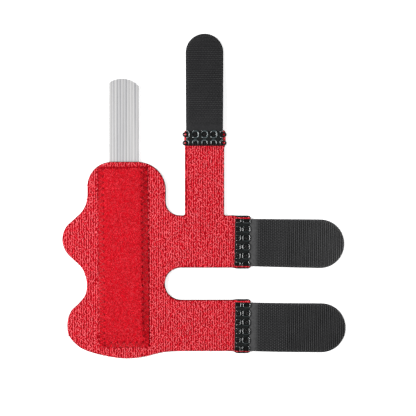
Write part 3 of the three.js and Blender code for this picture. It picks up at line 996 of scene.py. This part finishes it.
def seam_ovals(tab, row):
    """One row of ovals along a seam; angle 0 points along the seam, and -90 (or 270) towards the tape."""
    angles = np.radians(np.linspace(row["from"], row["to"], CORD_POINTS))
    ends = np.abs(np.linspace(-1, 1, CORD_POINTS)) ** END_STEEPNESS
    low = tape_underside(tab, np.array([row["middle"] - SEAM_LENGTH]))[0] + TAPE_GROUND
    paths = []
    for number in range(tab["count"]):
        w = row["middle"] - row["reach"] * fuller(np.sin(angles), tab["roundness"])
        middle = (number - (tab["count"] - 1) / 2) * tab["pitch"]
        v = middle + row["wide"] * fuller(np.cos(angles), tab["roundness"])
        past_edge = np.abs(v) - tab["root"] / 2 + CORD_RADIUS
        x, y = seam_frame(tab, w, v - np.sign(v) * np.clip(past_edge, 0, None))
        dive = DIVE_DEPTH * soft_rise(past_edge / CORD_RADIUS)
        paths.append(np.stack([x, y, low + row["tall"] - ends - dive], axis=1))
    points, faces, crest = threads(paths, CORD_RADIUS, CORD_SIDES)
    # Painted highlight on the cord's crest, strong on the upper arm's seam and faint on the others.
    crest = crest * tab["cord_highlight"]
    return add_piece(f"{tab['name']}_seam_{row['name']}", points, faces, crest, glossy_cord, "black_thread")


stitches = {tab["name"]: [seam_ovals(tab, row) for row in SEAM_OVALS] for tab in TABS}

# %% [markdown]
# On the narrow arm the same thread also loops round both edges of the cloth. Each loop starts on the tape,
# swings out past the cloth and comes back under it.

# %% Edge loops
EDGE_CORD = 0.4
EDGE_POINTS = 18
EDGE_TURN = 115
EDGE_OUT = 1.7
EDGE_IN = 0.2
EDGE_HALF_LENGTH = 0.95
EDGE_TOP = 0.35
EDGE_DROP = 1.1


def edge_loops(tab):
    """Loops of thread round both edges of an arm, one at each row of stitches."""
    turn = np.radians(np.linspace(-EDGE_TURN, EDGE_TURN, EDGE_POINTS))
    start = math.cos(turn[0])
    out = EDGE_OUT * (np.cos(turn) - start) / (1 - start)
    low = tape_underside(tab, np.array([-SEAM_LENGTH / 2]))[0]
    height = low + TAPE_GROUND + EDGE_TOP - EDGE_DROP * soft_rise(out / EDGE_OUT)
    paths = []
    for row in SEAM_OVALS:
        for side in (-1, 1):
            v = side * (tab["root"] / 2 - EDGE_IN + out)
            x, y = seam_frame(tab, row["middle"] + EDGE_HALF_LENGTH * np.sin(turn), v)
            paths.append(np.stack([x, y, height], axis=1))
    mesh = threads(paths, EDGE_CORD, CORD_SIDES)
    return add_piece(f"{tab['name']}_edge_loops", *mesh, black_thread, "black_thread")


stitches["upper"].append(edge_loops(TABS[0]))

# %% [markdown]
# On the two wide arms the thread runs along the edges of the cloth instead. To find an edge, we shoot rays
# down along a line that leads outwards: the last one that still hits the cloth marks it.

# %% Edge cords
RUN_RADIUS = 0.4
RUN_POINTS = 20
RUN_ENDS = (0.4, 7.4)
RUN_DIP = 0.8
SEARCH_REACH = 4
SEARCH_STEP = 0.05


def cloth_edge(tab, w, side):
    """How far the arm's cloth reaches to one side, and its height there, at places w along the seam."""
    v = np.arange(tab["root"] / 2, tab["root"] / 2 + SEARCH_REACH, SEARCH_STEP)
    found = []
    for place in w:
        x, y = seam_frame(tab, place, side * v)
        height = heights(face_tree, np.stack([x, y], axis=1))
        last = np.flatnonzero(~np.isnan(height))[-1]
        found.append((v[last], height[last]))
    return np.array(found).T


def edge_cords(tab):
    """A thread along each edge of an arm, as far as the seam is long."""
    w = np.linspace(*RUN_ENDS, RUN_POINTS)
    ends = np.abs(np.linspace(-1, 1, RUN_POINTS)) ** END_STEEPNESS
    paths = []
    for side in (-1, 1):
        reach, height = cloth_edge(tab, w, side)
        x, y = seam_frame(tab, w, side * reach)
        paths.append(np.stack([x, y, height - RUN_DIP * ends], axis=1))
    mesh = threads(paths, RUN_RADIUS, CORD_SIDES)
    return add_piece(f"{tab['name']}_edge_cords", *mesh, black_thread, "black_thread")


for tab in TABS[1:]:
    stitches[tab["name"]].append(edge_cords(tab))

# %% [markdown]
# ## The aluminium stay
#
# The stay is extruded, so its ribs and the fine marks of the die run along its length. Its solid already
# has the right shape and only needs a metal finish. Noise that is stretched along +Y gives the streaks, in
# the tone, in the roughness and in the relief.

# %% Brushed aluminium
STREAK_WIDTH = 1.1
STREAK_STRETCH = 0.01
METAL_TONES = [(0.35, (0.385, 0.385, 0.395)), (0.6, (0.52, 0.515, 0.515))]
METAL_ROUGHNESS = (0.7, 0.8)
SCRATCH_STRENGTH = 0.2
SCRATCH_DEPTH = 0.01

metal = bpy.data.materials.new("brushed_aluminium")
metal.use_nodes = True
nodes, links = metal.node_tree.nodes, metal.node_tree.links
shader = nodes["Principled BSDF"]
shader.inputs["Metallic"].default_value = 1
place = nodes.new("ShaderNodeTexCoord")
stretch = nodes.new("ShaderNodeMapping")
stretch.inputs["Scale"].default_value = (1, STREAK_STRETCH, 1)
streaks = nodes.new("ShaderNodeTexNoise")
streaks.inputs["Scale"].default_value = 1 / (STREAK_WIDTH * MM)
streaks.inputs["Detail"].default_value = NOISE_DETAIL
tones = nodes.new("ShaderNodeValToRGB")
for stop, (position, tone) in zip(tones.color_ramp.elements, METAL_TONES):
    stop.position = position
    stop.color = (*tone, 1)
shine = nodes.new("ShaderNodeMapRange")
shine.inputs["To Min"].default_value, shine.inputs["To Max"].default_value = METAL_ROUGHNESS
relief = nodes.new("ShaderNodeBump")
relief.inputs["Strength"].default_value = SCRATCH_STRENGTH
relief.inputs["Distance"].default_value = SCRATCH_DEPTH * MM
links.new(place.outputs["Object"], stretch.inputs["Vector"])
links.new(stretch.outputs["Vector"], streaks.inputs["Vector"])
links.new(streaks.outputs["Fac"], tones.inputs["Fac"])
links.new(tones.outputs["Color"], shader.inputs["Base Color"])
links.new(streaks.outputs["Fac"], shine.inputs["Value"])
links.new(shine.outputs["Result"], shader.inputs["Roughness"])
links.new(streaks.outputs["Fac"], relief.inputs["Height"])
links.new(relief.outputs["Normal"], shader.inputs["Normal"])

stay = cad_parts["stay"]
stay.data.materials.clear()
stay.data.materials.append(metal)
print("stay:", metal.name)

# %% [markdown]
# ## The floor
#
# A pale, even floor carries the splint. It lies a hair below the lining, so that the two surfaces never
# fight for the same place. Sheets of white paper look grey in an even light, so this one glows a little,
# which photographers do with a lamp behind the paper.

# %% Floor
FLOOR_SIZE = 30000
FLOOR_DROP = 0.3
FLOOR_GLOW = 0.45
PAPER_TONE = 0.9
PAPER_ROUGHNESS = 0.6

half = FLOOR_SIZE / 2
corners = [(-half, -half), (half, -half), (half, half), (-half, half)]
floor_mesh = bpy.data.meshes.new("floor")
floor_mesh.from_pydata([(x * MM, y * MM, -FLOOR_DROP * MM) for x, y in corners], [], [(0, 1, 2, 3)])
paper = bpy.data.materials.new("white_paper")
paper.use_nodes = True
shader = paper.node_tree.nodes["Principled BSDF"]
shader.inputs["Base Color"].default_value = (PAPER_TONE, PAPER_TONE, PAPER_TONE, 1)
shader.inputs["Roughness"].default_value = PAPER_ROUGHNESS
shader.inputs["Emission Color"].default_value = (1, 1, 1, 1)
shader.inputs["Emission Strength"].default_value = FLOOR_GLOW
floor_mesh.materials.append(paper)
floor = bpy.data.objects.new("floor", floor_mesh)
bpy.context.scene.collection.objects.link(floor)
print("floor laid")

# %% [markdown]
# ## The area of the lining
#
# The lining takes its area from its outline, and the knit is cut a little smaller than the lining.


def polygon_area(outline):
    """The area inside a closed outline."""
    x, y = outline.T
    return abs(np.dot(x, np.roll(y, -1)) - np.dot(y, np.roll(x, -1))) / 2


wrap_area = polygon_area(flat_outline("lining")) * MM * MM
for tab, tape, hook, bed in zip(TABS, tapes, hooks, beds):
    length = SEAM_LENGTH + tab["reach"]
print(f"the lining covers {wrap_area / MM**2:.0f} square millimetres")

# %% [markdown]
# ## The end
#

# %% Finish
print("done")
